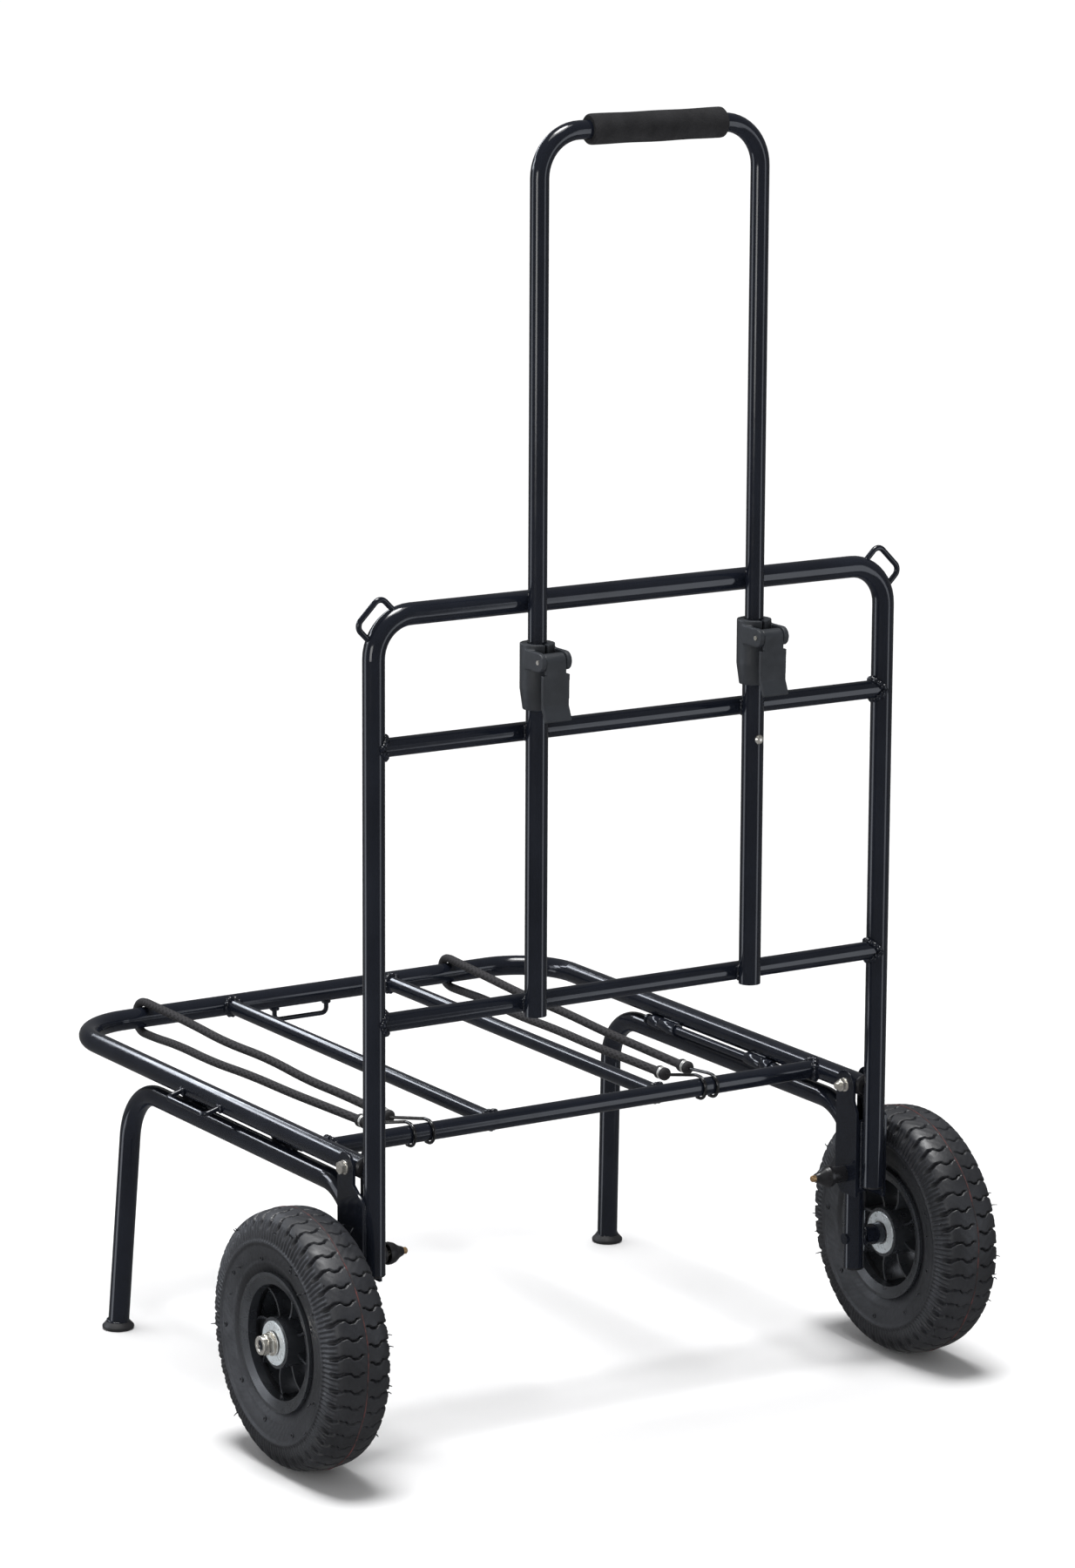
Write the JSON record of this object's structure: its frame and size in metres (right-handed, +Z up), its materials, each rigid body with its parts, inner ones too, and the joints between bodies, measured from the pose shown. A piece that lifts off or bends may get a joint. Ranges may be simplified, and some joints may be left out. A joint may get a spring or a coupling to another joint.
{
  "type": "folding luggage cart",
  "caption": "Folding luggage cart with a welded tube backrest, telescopic handle, hinged slatted platform, fold-in leg frames and air-filled wheels.",
  "frame": {"origin": "on the floor, under the middle of the cart: half way between the backs of the tyres and the front of the platform", "axes": "+Z up, +Y forward over the platform, +X to the right of a person who stands behind the handle"},
  "size_m": [0.704, 0.6618, 1.132],
  "materials": {
    "frame_paint": "gloss black enamel on steel tube, very slightly blue",
    "zinc_fasteners": "bright zinc plating",
    "clamp_plastic": "fine-textured dark grey moulding",
    "plug_plastic": "smooth black moulding",
    "grip_foam": "soft closed-cell foam, matte black",
    "cord_braid": "woven charcoal sheath over rubber strands",
    "cord_wire": "gloss black dipped spring wire",
    "cord_crimps": "wound dark wire with bright staples",
    "foot_rubber": "matte moulded rubber",
    "rim_plastic": "semi-gloss black moulding",
    "tyre_rubber": "moulded rubber, dull grey-black",
    "tube_rubber": "smooth butyl rubber",
    "bearing_steel": "ground steel",
    "plunger_brass": "bright copper-coloured pin end",
    "hub_zinc": "blue-white zinc plating"
  },
  "bodies": {
    "backrest": {"backrest_hoop": "frame_paint", "backrest_cross_rails": "frame_paint", "handle_sleeves": "frame_paint", "corner_tie_loops": "frame_paint", "pivot_brackets": "frame_paint", "pivot_bolts": "zinc_fasteners", "pivot_washers": "zinc_fasteners", "pivot_nuts": "zinc_fasteners", "clamp_collars": "clamp_plastic", "clamp_pins": "zinc_fasteners", "sleeve_stop_screw": "zinc_fasteners", "rod_guide_bushes": "plug_plastic", "upright_end_plugs": "plug_plastic", "plunger_housings": "plug_plastic", "plunger_springs": "zinc_fasteners"},
    "handle": {"handle_bow": "frame_paint", "foam_grip": "grip_foam", "rod_end_plugs": "plug_plastic"},
    "platform": {"platform_loop": "frame_paint", "platform_rear_rail": "frame_paint", "platform_slats": "frame_paint", "rail_tie_loops": "frame_paint", "rail_end_plugs": "plug_plastic", "rail_knuckles": "frame_paint", "hinge_rods": "frame_paint", "leg_tube_left": "frame_paint", "leg_tube_right": "frame_paint", "leg_knuckles": "frame_paint", "leg_end_plugs": "plug_plastic", "foot_pads": "foot_rubber", "axles": "frame_paint", "axle_washers": "zinc_fasteners", "axle_nuts": "zinc_fasteners", "bungee_cord_left": "cord_braid", "bungee_cord_right": "cord_braid", "bungee_crimps": "cord_crimps", "bungee_hooks": "cord_wire"},
    "clamp_lever_left": {"clamp_lever_left": "clamp_plastic"},
    "wheel_left": {"wheel_rim_left": "rim_plastic", "tyre_left": "tyre_rubber", "inner_tube_left": "tube_rubber", "hub_bearings_left": "bearing_steel", "hub_shields_left": "hub_zinc"},
    "plunger_left": {"plunger_pin_left": "zinc_fasteners", "plunger_knob_left": "plug_plastic", "plunger_tip_left": "plunger_brass"},
    "clamp_lever_right": {"clamp_lever_right": "clamp_plastic"},
    "wheel_right": {"wheel_rim_right": "rim_plastic", "tyre_right": "tyre_rubber", "inner_tube_right": "tube_rubber", "hub_bearings_right": "bearing_steel", "hub_shields_right": "hub_zinc"},
    "plunger_right": {"plunger_pin_right": "zinc_fasteners", "plunger_knob_right": "plug_plastic", "plunger_tip_right": "plunger_brass"}
  },
  "joints": [
    {"name": "handle_slide", "type": "slide", "parent": "backrest", "child": "handle", "axis": [0, 0, -1], "range_m": [0, 0.36]},
    {"name": "platform_fold", "type": "hinge", "parent": "backrest", "child": "platform", "pos_m": [0, -0.214, 0.2555], "axis": [1, 0, 0], "range_deg": [0, 90]},
    {"name": "clamp_lever_left_swing", "type": "hinge", "parent": "backrest", "child": "clamp_lever_left", "pos_m": [-0.109, -0.2825, 0.6835], "axis": [-1, 0, 0], "range_deg": [0, 100]},
    {"name": "wheel_spin_left", "type": "hinge", "parent": "platform", "child": "wheel_left", "pos_m": [-0.312, -0.214, 0.1125], "axis": [1, 0, 0], "continuous": true},
    {"name": "plunger_pull_left", "type": "slide", "parent": "backrest", "child": "plunger_left", "axis": [1, 0, 0], "range_m": [-0.006, 0]},
    {"name": "clamp_lever_right_swing", "type": "hinge", "parent": "backrest", "child": "clamp_lever_right", "pos_m": [0.109, -0.2825, 0.6835], "axis": [-1, 0, 0], "range_deg": [0, 100]},
    {"name": "wheel_spin_right", "type": "hinge", "parent": "platform", "child": "wheel_right", "pos_m": [0.312, -0.214, 0.1125], "axis": [1, 0, 0], "continuous": true},
    {"name": "plunger_pull_right", "type": "slide", "parent": "backrest", "child": "plunger_right", "axis": [-1, 0, 0], "range_m": [-0.006, 0]}
  ]
}
